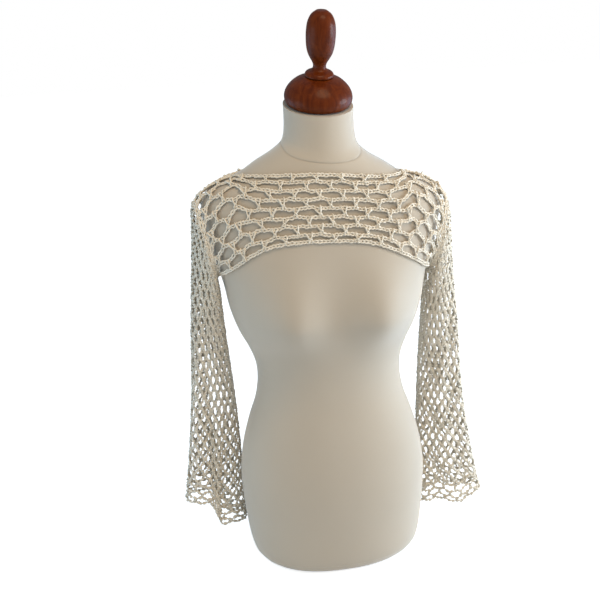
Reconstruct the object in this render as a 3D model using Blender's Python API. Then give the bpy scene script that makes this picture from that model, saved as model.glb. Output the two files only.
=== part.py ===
"""Open mesh shrug on a limbless dress form with a turned wooden neck cap and finial.

The form faces -Y and stands on its flat base at z = 0. Sizes are in metres.
The shrug is one mesh fabric whose rows run from cuff to cuff. A place on it is given by
a side (front or back), u, the number of meshes from the centre (negative at -X),
and v, from 0 at the neckline and shoulder fold to 1 at the hem and underarm seam.
"""

import functools
import math

import bmesh
import bpy
from mathutils import Vector

# Driving sizes of the shrug
CLOTH = 0.0040            # thickness of the crocheted chains
CLEAR = 0.0013            # from the form to the inside of the cloth
UNDERARM_EASE = 0.0015    # how much further the cloth keeps off below the armholes
BACK_EASE = 0.0015        # the same behind the shoulders
STRAND = 0.0066           # width of one chain seen from outside
SEAM_GAP = 0.0004         # between two pieces where a seam joins them
PIECE_GAP = 0.0003        # between the neck's top and the cap
ROWS = 8                  # rows of meshes from neckline to hem
YOKE_MESHES = 6           # meshes from the centre to each armhole
SLEEVE_MESHES = 15        # meshes from the armhole to the cuff
WAVE_CENTRE = 0.06        # how far a chain zigzags between posts, in rows, at the centre
WAVE_SHOULDER = 0.17      # and at the shoulders, where the meshes open into hexagons
CUFF_U = YOKE_MESHES + SLEEVE_MESHES
ROW_STEPS = 32            # steps in which even rows are measured out
SLEEVE_POINTS = 32        # round a sleeve
SLEEVE_RINGS = 17         # along a sleeve

# Where the form's axis stands, from the middle of the whole object's footprint
FORM_AXIS = (-0.0101, 0.0016, 0.0)

# Driving sizes of the form
NECK_TOP = 0.7575
NECK_LEAN = math.radians(2.4)   # of the neck's top and what is turned, to its left (+X)
NECK_NOD = math.radians(12.0)   # and forwards
SHOULDER_TIP = 0.0095     # how much higher one shoulder and lower the other one stands
TIP_SPREAD = 0.100
FORM_POINTS = 36
BUST_X = 0.074
BUST_Z = 0.445
BUST_RISE = 0.031         # how far the bust stands out from the chest
BUST_WIDE = 0.052
BUST_ABOVE = 0.070
BUST_BELOW = 0.046
TURNED_POINTS = 32

# The form's sections: height, half width, depth to the front, depth to the back, squareness
FORM_SECTIONS = [
    dict(z=0.000, wide=0.118, front=0.090, back=0.092, power=2.3),
    dict(z=0.004, wide=0.128, front=0.099, back=0.101, power=2.3),
    dict(z=0.014, wide=0.138, front=0.107, back=0.109, power=2.3),
    dict(z=0.036, wide=0.145, front=0.113, back=0.115, power=2.25),
    dict(z=0.075, wide=0.150, front=0.116, back=0.118, power=2.2),
    dict(z=0.117, wide=0.1535, front=0.118, back=0.120, power=2.2),
    dict(z=0.157, wide=0.154, front=0.117, back=0.120, power=2.2),
    dict(z=0.202, wide=0.148, front=0.110, back=0.114, power=2.2),
    dict(z=0.247, wide=0.136, front=0.100, back=0.102, power=2.2),
    dict(z=0.287, wide=0.1225, front=0.091, back=0.089, power=2.2),
    dict(z=0.322, wide=0.117, front=0.087, back=0.083, power=2.2),
    dict(z=0.352, wide=0.119, front=0.088, back=0.083, power=2.2),
    dict(z=0.382, wide=0.129, front=0.092, back=0.087, power=2.2),
    dict(z=0.412, wide=0.143, front=0.097, back=0.092, power=2.2),
    dict(z=0.447, wide=0.154, front=0.101, back=0.097, power=2.2),
    dict(z=0.487, wide=0.161, front=0.100, back=0.100, power=2.2),
    dict(z=0.522, wide=0.170, front=0.097, back=0.100, power=2.2),
    dict(z=0.557, wide=0.180, front=0.092, back=0.098, power=2.2),
    dict(z=0.587, wide=0.1860, front=0.086, back=0.092, power=2.2),
    dict(z=0.603, wide=0.1870, front=0.082, back=0.088, power=2.2),
    dict(z=0.616, wide=0.1845, front=0.079, back=0.084, power=2.2),
    dict(z=0.627, wide=0.1785, front=0.077, back=0.081, power=2.2),
    dict(z=0.635, wide=0.1685, front=0.075, back=0.078, power=2.2),
    dict(z=0.642, wide=0.1555, front=0.0725, back=0.0755, power=2.15),
    dict(z=0.648, wide=0.1395, front=0.0705, back=0.073, power=2.1),
    dict(z=0.654, wide=0.1258, front=0.0685, back=0.0705, power=2.1),
    dict(z=0.662, wide=0.1140, front=0.066, back=0.067, power=2.05),
    dict(z=0.671, wide=0.1010, front=0.0635, back=0.064, power=2.0),
    dict(z=0.680, wide=0.0850, front=0.061, back=0.061, power=2.0),
    dict(z=0.688, wide=0.0725, front=0.059, back=0.059, power=2.0),
    dict(z=0.696, wide=0.0625, front=0.057, back=0.057, power=2.0),
    dict(z=0.704, wide=0.0570, front=0.0552, back=0.0552, power=2.0),
    dict(z=0.716, wide=0.0542, front=0.0537, back=0.0537, power=2.0),
    dict(z=0.732, wide=0.0530, front=0.0528, back=0.0528, power=2.0),
    dict(z=NECK_TOP, wide=0.0530, front=0.0530, back=0.0530, power=2.0),
]

# The fabric's two edge lines, by u, which runs from the cuff at -X to the cuff at +X.
# top is the neckline, shoulder fold and outside of the sleeve; low is the hem and its inside.
# deep is the half depth of the tube that the cloth makes where no form fills it, and
# back is how much lower the neckline lies behind.
STATIONS = [
    dict(u=-21, top=(-0.2490, 0.030, 0.098), low=(-0.1470, 0.064, 0.040), deep=0.031, back=0.000),
    dict(u=-18, top=(-0.2350, 0.027, 0.200), low=(-0.1480, 0.062, 0.137), deep=0.029, back=0.000),
    dict(u=-15, top=(-0.2240, 0.022, 0.303), low=(-0.1510, 0.054, 0.235), deep=0.028, back=0.000),
    dict(u=-12, top=(-0.2170, 0.016, 0.407), low=(-0.1570, 0.042, 0.326), deep=0.029, back=0.000),
    dict(u=-10, top=(-0.2110, 0.011, 0.478), low=(-0.1620, 0.030, 0.385), deep=0.032, back=0.000),
    dict(u=-8, top=(-0.2050, 0.006, 0.549), low=(-0.1660, 0.017, 0.444), deep=0.038, back=0.000),
    dict(u=-7, top=(-0.2025, 0.004, 0.586), low=(-0.1680, 0.010, 0.475), deep=0.042, back=0.000),
    dict(u=-6, top=(-0.1985, 0.002, 0.622), low=(-0.1700, 0.003, 0.504), deep=0.043, back=0.000),
    dict(u=-5, top=(-0.1750, 0.001, 0.6455), low=(-0.1525, 0.001, 0.5240), deep=0.036, back=0.000),
    dict(u=-4, top=(-0.1420, 0.000, 0.6590), low=(-0.1310, 0.000, 0.5430), deep=0.020, back=0.000),
    dict(u=-3, top=(-0.1080, 0.000, 0.6658), low=(-0.1030, 0.000, 0.5600), deep=0.004, back=0.009),
    dict(u=-2, top=(-0.0720, 0.000, 0.6685), low=(-0.0710, 0.000, 0.5665), deep=0.000, back=0.007),
    dict(u=-1, top=(-0.0360, 0.000, 0.6690), low=(-0.0360, 0.000, 0.5680), deep=0.000, back=0.005),
    dict(u=0, top=(0.0000, 0.000, 0.6670), low=(0.0000, 0.000, 0.5660), deep=0.000, back=0.004),
    dict(u=1, top=(0.0360, 0.000, 0.6625), low=(0.0360, 0.000, 0.5625), deep=0.000, back=0.005),
    dict(u=2, top=(0.0720, 0.000, 0.6565), low=(0.0700, 0.000, 0.5540), deep=0.000, back=0.007),
    dict(u=3, top=(0.1080, 0.000, 0.6515), low=(0.1030, 0.000, 0.5380), deep=0.004, back=0.009),
    dict(u=4, top=(0.1410, 0.000, 0.6455), low=(0.1310, 0.000, 0.5200), deep=0.020, back=0.000),
    dict(u=5, top=(0.1730, 0.001, 0.6315), low=(0.1530, 0.001, 0.5030), deep=0.036, back=0.000),
    dict(u=6, top=(0.1970, 0.002, 0.607), low=(0.1710, 0.003, 0.486), deep=0.043, back=0.000),
    dict(u=7, top=(0.2035, 0.004, 0.572), low=(0.1695, 0.009, 0.459), deep=0.042, back=0.000),
    dict(u=8, top=(0.2070, 0.006, 0.536), low=(0.1680, 0.015, 0.431), deep=0.038, back=0.000),
    dict(u=10, top=(0.2135, 0.010, 0.462), low=(0.1660, 0.027, 0.375), deep=0.032, back=0.000),
    dict(u=12, top=(0.2220, 0.014, 0.388), low=(0.1645, 0.038, 0.314), deep=0.029, back=0.000),
    dict(u=15, top=(0.2310, 0.020, 0.276), low=(0.1630, 0.049, 0.223), deep=0.028, back=0.000),
    dict(u=18, top=(0.2470, 0.024, 0.164), low=(0.1640, 0.056, 0.128), deep=0.030, back=0.000),
    dict(u=21, top=(0.2690, 0.026, 0.052), low=(0.1670, 0.058, 0.032), deep=0.035, back=0.000),
]

# Soft troughs that run down the sleeves. round is the place round the tube, as a share
# of the way from the outside over the front, the inside and the back.
SLEEVE_FOLDS = {
    -1: [
        dict(round=0.17, deep=0.0055, broad=0.050, start=9.0, full=14.0),
        dict(round=0.31, deep=0.0100, broad=0.040, start=12.0, full=19.0),
        dict(round=0.62, deep=0.0060, broad=0.050, start=10.0, full=15.0),
        dict(round=0.83, deep=0.0075, broad=0.045, start=11.0, full=17.0),
    ],
    1: [
        dict(round=0.14, deep=0.0065, broad=0.045, start=8.0, full=13.0),
        dict(round=0.34, deep=0.0070, broad=0.045, start=10.0, full=17.0),
        dict(round=0.66, deep=0.0080, broad=0.045, start=12.0, full=18.0),
        dict(round=0.87, deep=0.0050, broad=0.050, start=9.0, full=15.0),
    ],
}
# A cuff's edge waves up and down round the tube, and the one at -X drops in a step
# from its outside to the part that hangs next to the hip
CUFFS = {-1: dict(step=1.0, wave=0.004), 1: dict(step=0.0, wave=0.005)}

# The neck cap and the finial, turned: radius and height above the neck's top
CAP_PROFILE = [(0.0430, 0.0000), (0.0475, 0.0020), (0.0506, 0.0065), (0.0516, 0.0120),
               (0.0510, 0.0170), (0.0492, 0.0220), (0.0458, 0.0275), (0.0406, 0.0330),
               (0.0330, 0.0385), (0.0205, 0.0430)]
FINIAL_PROFILE = [(0.0200, 0.0433), (0.0214, 0.0443), (0.0217, 0.0458), (0.0211, 0.0480),
                  (0.0194, 0.0500), (0.0164, 0.0516), (0.0124, 0.0532), (0.0102, 0.0562),
                  (0.0097, 0.0600), (0.0112, 0.0650), (0.0148, 0.0712), (0.0184, 0.0785),
                  (0.0207, 0.0875), (0.0218, 0.0990), (0.0219, 0.1110), (0.0203, 0.1240),
                  (0.0156, 0.1345), (0.0085, 0.1405)]


def smooth_step(low, high, x):
    t = min(1.0, max(0.0, (x - low) / (high - low)))
    return t * t * (3.0 - 2.0 * t)


def mix(a, b, t):
    return a + (b - a) * t


def read_table(rows, key, name, at, part=None):
    """A column of a table at any place, on a smooth curve through its rows."""
    def value(row):
        return row[name] if part is None else row[name][part]

    last = len(rows) - 1
    i = 0
    while i < last - 1 and rows[i + 1][key] < at:
        i += 1
    a, b = rows[i], rows[i + 1]
    before, after = rows[max(0, i - 1)], rows[min(last, i + 2)]
    span = b[key] - a[key]
    slope_a = (value(b) - value(before)) / (b[key] - before[key])
    slope_b = (value(after) - value(a)) / (after[key] - a[key])
    t = min(1.0, max(0.0, (at - a[key]) / span))
    return (
        value(a) * (2 * t**3 - 3 * t**2 + 1)
        + slope_a * span * (t**3 - 2 * t**2 + t)
        + value(b) * (3 * t**2 - 2 * t**3)
        + slope_b * span * (t**3 - t**2)
    )


@functools.lru_cache(maxsize=None)
def form_size(name, z):
    return read_table(FORM_SECTIONS, "z", name, min(NECK_TOP, max(0.0, z)))


def bust_rise(x, z):
    tall = BUST_ABOVE if z > BUST_Z else BUST_BELOW
    down = math.exp(-(((z - BUST_Z) / tall) ** 2))
    return BUST_RISE * down * sum(
        math.exp(-(((x - side * BUST_X) / BUST_WIDE) ** 2)) for side in (-1, 1)
    )


def tip(x, level):
    """How much a point of the form stands above its level, because the shoulders tip."""
    curved = -SHOULDER_TIP * smooth_step(0.47, 0.62, level) * x / math.hypot(x, TIP_SPREAD)
    flat = -math.tan(NECK_LEAN) * x
    return mix(curved, flat, smooth_step(0.69, 0.73, level))


def nod(y, level):
    """The same because the neck's top leans forwards."""
    return math.tan(NECK_NOD) * y * smooth_step(0.685, 0.745, level)


def form_depth(side, x, z):
    """How far the form reaches to the front (-1) or back (1) at x and z, or None beside it."""
    level = z - tip(x, z)
    level = z - tip(x, level)
    wide = form_size("wide", level)
    share = abs(x) / wide
    if share >= 1.0:
        return None
    power = form_size("power", level)
    profile = (1.0 - share**power) ** (1.0 / power)
    depth = form_size("front" if side < 0 else "back", level) * profile
    if side < 0:
        depth += bust_rise(x, level) * min(1.0, 1.8 * profile)
    return depth


@functools.lru_cache(maxsize=None)
def depth_over_form(side, x, z, out):
    """The same for a skin that keeps the distance out from the form everywhere."""
    best = 0.0
    for share in (0.0, 0.4, 0.75, 0.95):
        lift = out * math.sqrt(1.0 - share * share)
        for step in range(8 if share else 1):
            angle = math.pi * step / 4.0
            near_x = x + out * share * math.cos(angle)
            depth = form_depth(side, near_x, z + out * share * math.sin(angle))
            if depth is not None:
                best = max(best, depth + lift)
    return best


def station(name, u):
    if name in ("deep", "back"):
        return read_table(STATIONS, "u", name, u)
    return Vector([read_table(STATIONS, "u", name, u, part) for part in range(3)])


def fold_depth(u, place):
    """How far the cloth sinks in at a place round the sleeve."""
    total = 0.0
    for fold in SLEEVE_FOLDS[-1 if u < 0 else 1]:
        away = abs(place - fold["round"])
        away = min(away, 1.0 - away)
        grown = smooth_step(fold["start"], fold["full"], abs(u))
        total += fold["deep"] * grown * math.exp(-((away / fold["broad"]) ** 2))
    return total


def section_point(side, u, down):
    """A point of the cloth's section at u, from its top edge (0) to its low edge (1)."""
    top, low = station("top", u), station("low", u)
    if side > 0:
        top.z -= station("back", u)
    at = top.lerp(low, down)
    cuff = CUFFS[-1 if u < 0 else 1]
    near_cuff = smooth_step(CUFF_U - 6.0, CUFF_U, abs(u))
    dropped = smooth_step(0.38, 0.62, down)
    at.z += near_cuff * cuff["step"] * (dropped - down) * (low.z - top.z)
    place = down / 2.0 if side < 0 else 1.0 - down / 2.0
    at.z += near_cuff * cuff["wave"] * math.sin(2.0 * math.pi * (3.0 * place + 0.15))
    tube = station("deep", u) * max(0.0, 1.0 - abs(2.0 * down - 1.0) ** 2.3) ** (1.0 / 2.3)
    on_form = 0.0
    if abs(u) < 7.5:
        loose = UNDERARM_EASE * smooth_step(3.5, 5.5, abs(u)) * smooth_step(0.3, 0.9, down)
        if side > 0:
            loose = max(loose, BACK_EASE * smooth_step(2.0, 3.0, abs(u)))
        out = CLEAR + loose + CLOTH / 2.0
        on_form = depth_over_form(side, round(at.x, 6), round(at.z, 6), round(out, 6))
    at.y += side * (tube**5 + on_form**5) ** 0.2
    return at


@functools.lru_cache(maxsize=None)
def even_rows(side, quarter):
    """Places down a section, at a quarter of u, that are evenly spaced along the cloth."""
    count = 48
    downs = [(1.0 - math.cos(math.pi * i / count)) / 2.0 for i in range(count + 1)]
    points = [section_point(side, quarter / 4.0, down) for down in downs]
    lengths = [0.0]
    for a, b in zip(points, points[1:]):
        lengths.append(lengths[-1] + (b - a).length)
    rows = []
    for i in range(ROW_STEPS + 1):
        want = lengths[-1] * i / ROW_STEPS
        j = max(0, min(count - 1, sum(1 for n in lengths if n < want) - 1))
        share = (want - lengths[j]) / (lengths[j + 1] - lengths[j])
        rows.append(mix(downs[j], downs[j + 1], min(1.0, max(0.0, share))))
    return rows


def down_at(side, u, v):
    """How far down its section a place is, from its v."""
    quarter = math.floor(u * 4.0)
    i = min(ROW_STEPS - 1, max(0, math.floor(v * ROW_STEPS)))
    share = v * ROW_STEPS - i
    here = mix(*even_rows(side, quarter)[i:i + 2], share)
    there = mix(*even_rows(side, quarter + 1)[i:i + 2], share)
    return min(1.0, max(0.0, mix(here, there, u * 4.0 - quarter)))


def cloth_middle(side, u, v):
    """The middle of the cloth's thickness, before the sleeve's folds."""
    return section_point(side, u, down_at(side, u, v))


def across(side, u, v, step=0.02):
    """The outward direction of the cloth."""
    low, high = max(0.0, v - step), min(1.0, v + step)
    along_v = cloth_middle(side, u, high) - cloth_middle(side, u, low)
    along_u = cloth_middle(side, u + step, v) - cloth_middle(side, u - step, v)
    out = (along_u.cross(along_v) * side).normalized()
    if abs(abs(u) - YOKE_MESHES) < 0.05:
        # the armhole is a flat seam, so its thickness stays in its plane
        line = cloth_middle(side, u, 1.0) - cloth_middle(side, u, 0.0)
        plane = line.cross(Vector((0.0, 1.0, 0.0))).normalized()
        out = (out - plane * out.dot(plane)).normalized()
    return out


def link(name, mesh, parent=None):
    made = bpy.data.objects.new(name, mesh)
    bpy.context.scene.collection.objects.link(made)
    made.parent = parent
    return made


def finish(name, points, faces, material, axis, smooth_angle=math.radians(40)):
    """A named object from points and faces that already enclose one body."""
    mesh = bpy.data.meshes.new(name)
    mesh.from_pydata([tuple(p) for p in points], [], faces)
    shape = bmesh.new()
    shape.from_mesh(mesh)
    bmesh.ops.recalc_face_normals(shape, faces=shape.faces)
    shape.to_mesh(mesh)
    shape.free()
    mesh.shade_smooth()
    mesh.set_sharp_from_angle(angle=smooth_angle)
    made = link(name, mesh, axis)
    made.data.materials.append(material)
    return made


def material(name, colour, roughness):
    made = bpy.data.materials.new(name)
    made.use_nodes = True
    shader = made.node_tree.nodes["Principled BSDF"]
    shader.inputs["Base Color"].default_value = (*colour, 1.0)
    shader.inputs["Roughness"].default_value = roughness
    shader.inputs["Metallic"].default_value = 0.0
    return made


def closed_loft(rings):
    """Points and faces of a body through equal rings, closed by a flat face at each end."""
    count = len(rings[0])
    points = [p for ring in rings for p in ring]
    faces = []
    for r in range(len(rings) - 1):
        for i in range(count):
            a, b = r * count + i, r * count + (i + 1) % count
            faces.append((a, b, b + count, a + count))
    faces.append(tuple(range(count))[::-1])
    faces.append(tuple((len(rings) - 1) * count + i for i in range(count)))
    return points, faces


def form_ring(level):
    wide, power = form_size("wide", level), form_size("power", level)
    ring = []
    for i in range(FORM_POINTS):
        angle = 2.0 * math.pi * i / FORM_POINTS
        cosine, sine = math.cos(angle), math.sin(angle)
        x = wide * math.copysign(abs(cosine) ** (2.0 / power), cosine)
        side = -1 if sine < 0 else 1
        profile = abs(sine) ** (2.0 / power)
        depth = form_size("front" if side < 0 else "back", level) * profile
        if side < 0:
            depth += bust_rise(x, level) * min(1.0, 1.8 * profile)
        y = side * depth
        ring.append(Vector((x, y, level + tip(x, level) + nod(y, level))))
    return ring


def make_form(jersey, axis):
    """The torso, solid and smooth, on its flat base."""
    heights = []
    for a, b in zip(FORM_SECTIONS, FORM_SECTIONS[1:]):
        spacing = 0.016 if 0.36 < a["z"] < 0.50 else 0.024
        parts = max(1, round((b["z"] - a["z"]) / spacing))
        heights += [mix(a["z"], b["z"], i / parts) for i in range(parts)]
    heights.append(NECK_TOP)
    return finish("form_torso", *closed_loft([form_ring(z) for z in heights]), jersey, axis)


def make_turned(name, profile, wood, axis):
    """A turned piece that stands square on the neck's leaning top."""
    rings = []
    for radius, height in profile:
        rings.append([
            Vector((
                radius * math.cos(2.0 * math.pi * i / TURNED_POINTS),
                radius * math.sin(2.0 * math.pi * i / TURNED_POINTS),
                height,
            ))
            for i in range(TURNED_POINTS)
        ])
    made = finish(name, *closed_loft(rings), wood, axis)
    square = Vector((math.tan(NECK_LEAN), -math.tan(NECK_NOD), 1.0))
    made.rotation_euler = Vector((0.0, 0.0, 1.0)).rotation_difference(square).to_euler()
    made.location = (0.0, 0.0, NECK_TOP + PIECE_GAP)
    return made


class Wall:
    """Collects faces on both skins of a wall, and the edges between them."""

    def __init__(self, place):
        self.place = place          # gives (inner point, outer point) for a key
        self.points = []
        self.found = {}
        self.faces = []

    def pair(self, key):
        if key not in self.found:
            inner, outer = self.place(key)
            self.found[key] = len(self.points)
            self.points += [inner, outer]
        return self.found[key]

    def skin(self, *keys):
        pairs = [self.pair(key) for key in keys]
        self.faces.append(tuple(pairs))
        self.faces.append(tuple(p + 1 for p in pairs))

    def rim(self, a, b):
        first, second = self.pair(a), self.pair(b)
        self.faces.append((first, second, second + 1, first + 1))


def panel_line(u, row):
    """v of the chain above a row at u, with its zigzag between posts.

    The posts of even rows stand at halves of u, and those of odd rows at whole numbers.
    """
    if row in (0, ROWS):
        return row / ROWS
    halves = round(2.0 * u)
    post_below = (halves + row) % 2 == 1
    wave = mix(WAVE_CENTRE, WAVE_SHOULDER, smooth_step(2.0, 5.0, abs(u)))
    return (row + (wave if post_below else -wave)) / ROWS


def make_panel(name, side, cotton, axis):
    """The front or the back of the yoke, an open net between its chains and posts."""
    end = YOKE_MESHES

    def sizes(u, v):
        """Lengths of one mesh and of one row there."""
        step = 0.25
        a = max(-end, u - step)
        b = min(end, u + step)
        wide = (cloth_middle(side, b, v) - cloth_middle(side, a, v)).length / (b - a)
        tall = (cloth_middle(side, u, 1.0) - cloth_middle(side, u, 0.0)).length
        return max(wide, 0.018), max(tall, 0.07)

    def place(key):
        u, v = key[0], key[1]
        if abs(u) > end - 0.001:
            u = math.copysign(end - SEAM_GAP / 0.03, u)
        middle = cloth_middle(side, u, v)
        out = across(side, u, v)
        inner, outer = middle - out * CLOTH / 2.0, middle + out * CLOTH / 2.0
        for point in (inner, outer):
            point.y = side * max(side * point.y, SEAM_GAP / 2.0)
        return inner, outer

    wall = Wall(place)
    half = STRAND / 2.0
    for row in range(ROWS):
        shift = 0.5 if row % 2 == 0 else 0.0
        edges = sorted({-end, end} | {
            k + shift for k in range(-end, end + 1) if abs(k + shift) < end
        })
        for left, right in zip(edges, edges[1:]):
            stops = [left, right] if right - left < 0.75 else [left, (left + right) / 2, right]
            border_top = [(u, round(panel_line(u, row), 6)) for u in stops]
            border_low = [(u, round(panel_line(u, row + 1), 6)) for u in reversed(stops)]
            border = border_top + border_low
            hole = []
            for i, (u, v) in enumerate(border):
                wide, tall = sizes(u, v)
                upper = i < len(stops)
                edge = row == 0 if upper else row == ROWS - 1
                in_v = (STRAND if edge else half) / tall
                in_u = 0.0
                if u in (left, right):
                    at_end = abs(u) == end
                    in_u = (STRAND if at_end else half) / wide
                    in_u *= 1.0 if u == left else -1.0
                hole.append((u + in_u, v + (in_v if upper else -in_v), "hole"))
            count = len(border)
            for i in range(count):
                j = (i + 1) % count
                wall.skin(border[i], border[j], hole[j], hole[i])
                wall.rim(hole[i], hole[j])
            for i in range(len(stops) - 1):
                if row == 0:
                    wall.rim(border_top[i], border_top[i + 1])
                if row == ROWS - 1:
                    wall.rim(border_low[i], border_low[i + 1])
            if left == -end:
                wall.rim(border_top[0], border_low[-1])
            if right == end:
                wall.rim(border_top[-1], border_low[0])
    return finish(name, wall.points, wall.faces, cotton, axis, math.radians(50))


def make_sleeve(name, hand, cotton, axis):
    """One sleeve as a hollow tube, open at the armhole and at the cuff."""
    start = YOKE_MESHES + SEAM_GAP / 0.03
    us = [hand * mix(start, CUFF_U, i / (SLEEVE_RINGS - 1)) for i in range(SLEEVE_RINGS)]

    def place(key):
        i, j = key
        u = us[i]
        where = j / SLEEVE_POINTS
        side = -1 if where <= 0.5 else 1
        v = 2.0 * where if side < 0 else 2.0 - 2.0 * where
        middle = cloth_middle(side, u, v)
        if j % (SLEEVE_POINTS // 2) == 0:
            top, low = cloth_middle(side, u, 0.0), cloth_middle(side, u, 1.0)
            out = (top - low).normalized() * (1.0 if j == 0 else -1.0)
        else:
            out = across(side, u, v)
        middle = middle - out * fold_depth(u, where)
        return middle - out * CLOTH / 2.0, middle + out * CLOTH / 2.0

    wall = Wall(place)
    for i in range(SLEEVE_RINGS - 1):
        for j in range(SLEEVE_POINTS):
            k = (j + 1) % SLEEVE_POINTS
            wall.skin((i, j), (i, k), (i + 1, k), (i + 1, j))
            if i == 0:
                wall.rim((0, j), (0, k))
            if i == SLEEVE_RINGS - 2:
                wall.rim((i + 1, j), (i + 1, k))
    return finish(name, wall.points, wall.faces, cotton, axis)


def main():
    for thing in list(bpy.data.objects):
        bpy.data.objects.remove(thing)
    cotton = material("cream_cotton", (0.80, 0.74, 0.64), 0.75)
    jersey = material("cream_jersey", (0.74, 0.69, 0.60), 0.85)
    wood = material("brown_wood", (0.16, 0.035, 0.012), 0.28)
    axis = link("form_axis", None)
    axis.location = FORM_AXIS
    make_form(jersey, axis)
    make_turned("neck_cap", CAP_PROFILE, wood, axis)
    make_turned("neck_finial", FINIAL_PROFILE, wood, axis)
    make_panel("shrug_front", -1, cotton, axis)
    make_panel("shrug_back", 1, cotton, axis)
    make_sleeve("sleeve_right", -1, cotton, axis)
    make_sleeve("sleeve_left", 1, cotton, axis)


main()
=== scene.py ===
import functools
import math

import bmesh
import bpy
import numpy as np
from mathutils import Matrix, Vector


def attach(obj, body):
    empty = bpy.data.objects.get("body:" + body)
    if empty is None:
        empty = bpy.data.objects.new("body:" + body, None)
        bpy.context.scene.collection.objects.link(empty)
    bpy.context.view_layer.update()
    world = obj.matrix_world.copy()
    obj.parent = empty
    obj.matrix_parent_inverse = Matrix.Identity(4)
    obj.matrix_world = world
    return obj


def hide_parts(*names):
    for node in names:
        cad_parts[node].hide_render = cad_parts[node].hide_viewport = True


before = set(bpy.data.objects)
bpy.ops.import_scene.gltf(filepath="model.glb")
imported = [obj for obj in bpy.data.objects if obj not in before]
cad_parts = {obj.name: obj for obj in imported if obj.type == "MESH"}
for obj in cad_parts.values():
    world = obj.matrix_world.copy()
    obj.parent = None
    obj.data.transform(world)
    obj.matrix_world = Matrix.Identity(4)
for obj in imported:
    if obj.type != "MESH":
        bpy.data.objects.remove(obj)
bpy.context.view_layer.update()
print("frame loaded:", sorted(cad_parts))


# Node trees

class Wire:
    # one node's output; arithmetic on it adds Math nodes to the same tree
    def __init__(self, desk, socket):
        self.desk = desk
        self.socket = socket

    def sum(self, operation, *terms):
        settings = {"operation": operation}
        return self.desk.add("ShaderNodeMath", settings, dict(enumerate(terms)))

    def __add__(self, other):
        return self.sum("ADD", self, other)

    def __radd__(self, other):
        return self.sum("ADD", other, self)

    def __rsub__(self, other):
        return self.sum("SUBTRACT", other, self)

    def __mul__(self, other):
        return self.sum("MULTIPLY", self, other)

    def sine(self):
        return self.sum("SINE", self)

    def clamped(self):
        made = self.sum("ADD", self, 0.0)
        made.socket.node.use_clamp = True
        return made


class Desk:
    # a node tree being built; add() makes any node
    def __init__(self, tree):
        self.tree = tree

    def add(self, kind, settings=None, values=None, out=0):
        node = self.tree.nodes.new(kind)
        for name, value in (settings or {}).items():
            if name == "stops":
                self.setStops(node.color_ramp, value)
            else:
                setattr(node, name, value)
        for key, value in (values or {}).items():
            self.feed(self.find(node.inputs, key), value)
        return Wire(self, self.find(node.outputs, out)) if len(node.outputs) else None

    def find(self, sockets, key):
        if isinstance(key, int):
            return sockets[key]
        for socket in sockets:
            if socket.identifier == key:
                return socket
        return next(s for s in sockets if s.name == key and s.enabled)

    def feed(self, socket, value):
        if isinstance(value, Wire):
            self.tree.links.new(value.socket, socket)
        elif isinstance(value, (tuple, list)) and len(value) == 3 and socket.type == "RGBA":
            socket.default_value = (*value, 1.0)
        else:
            socket.default_value = value

    def setStops(self, ramp, stops):
        while len(ramp.elements) < len(stops):
            ramp.elements.new(0.5)
        for element, (place, colour) in zip(ramp.elements, stops):
            element.position = place
            element.color = (*colour, 1.0)


def startMaterial(name):
    made = bpy.data.materials.new(name)
    made.use_nodes = True
    made.node_tree.nodes.clear()
    return made, Desk(made.node_tree)


def endMaterial(desk, values):
    shader = desk.add("ShaderNodeBsdfPrincipled", {}, values)
    desk.add("ShaderNodeOutputMaterial", {}, {"Surface": shader})


def mixColour(desk, share, a, b):
    values = {"Factor_Float": share, "A_Color": a, "B_Color": b}
    return desk.add("ShaderNodeMix", {"data_type": "RGBA"}, values, "Result_Color")


def noise(desk, place, scale, detail, **more):
    values = {"Vector": place, "Scale": scale, "Detail": detail, **more}
    return desk.add("ShaderNodeTexNoise", {}, values, "Fac")


def newObject(name, data):
    made = bpy.data.objects.new(name, data)
    bpy.context.scene.collection.objects.link(made)
    return made


# The form under the cloth: the same rules and sizes as its solid

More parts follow.
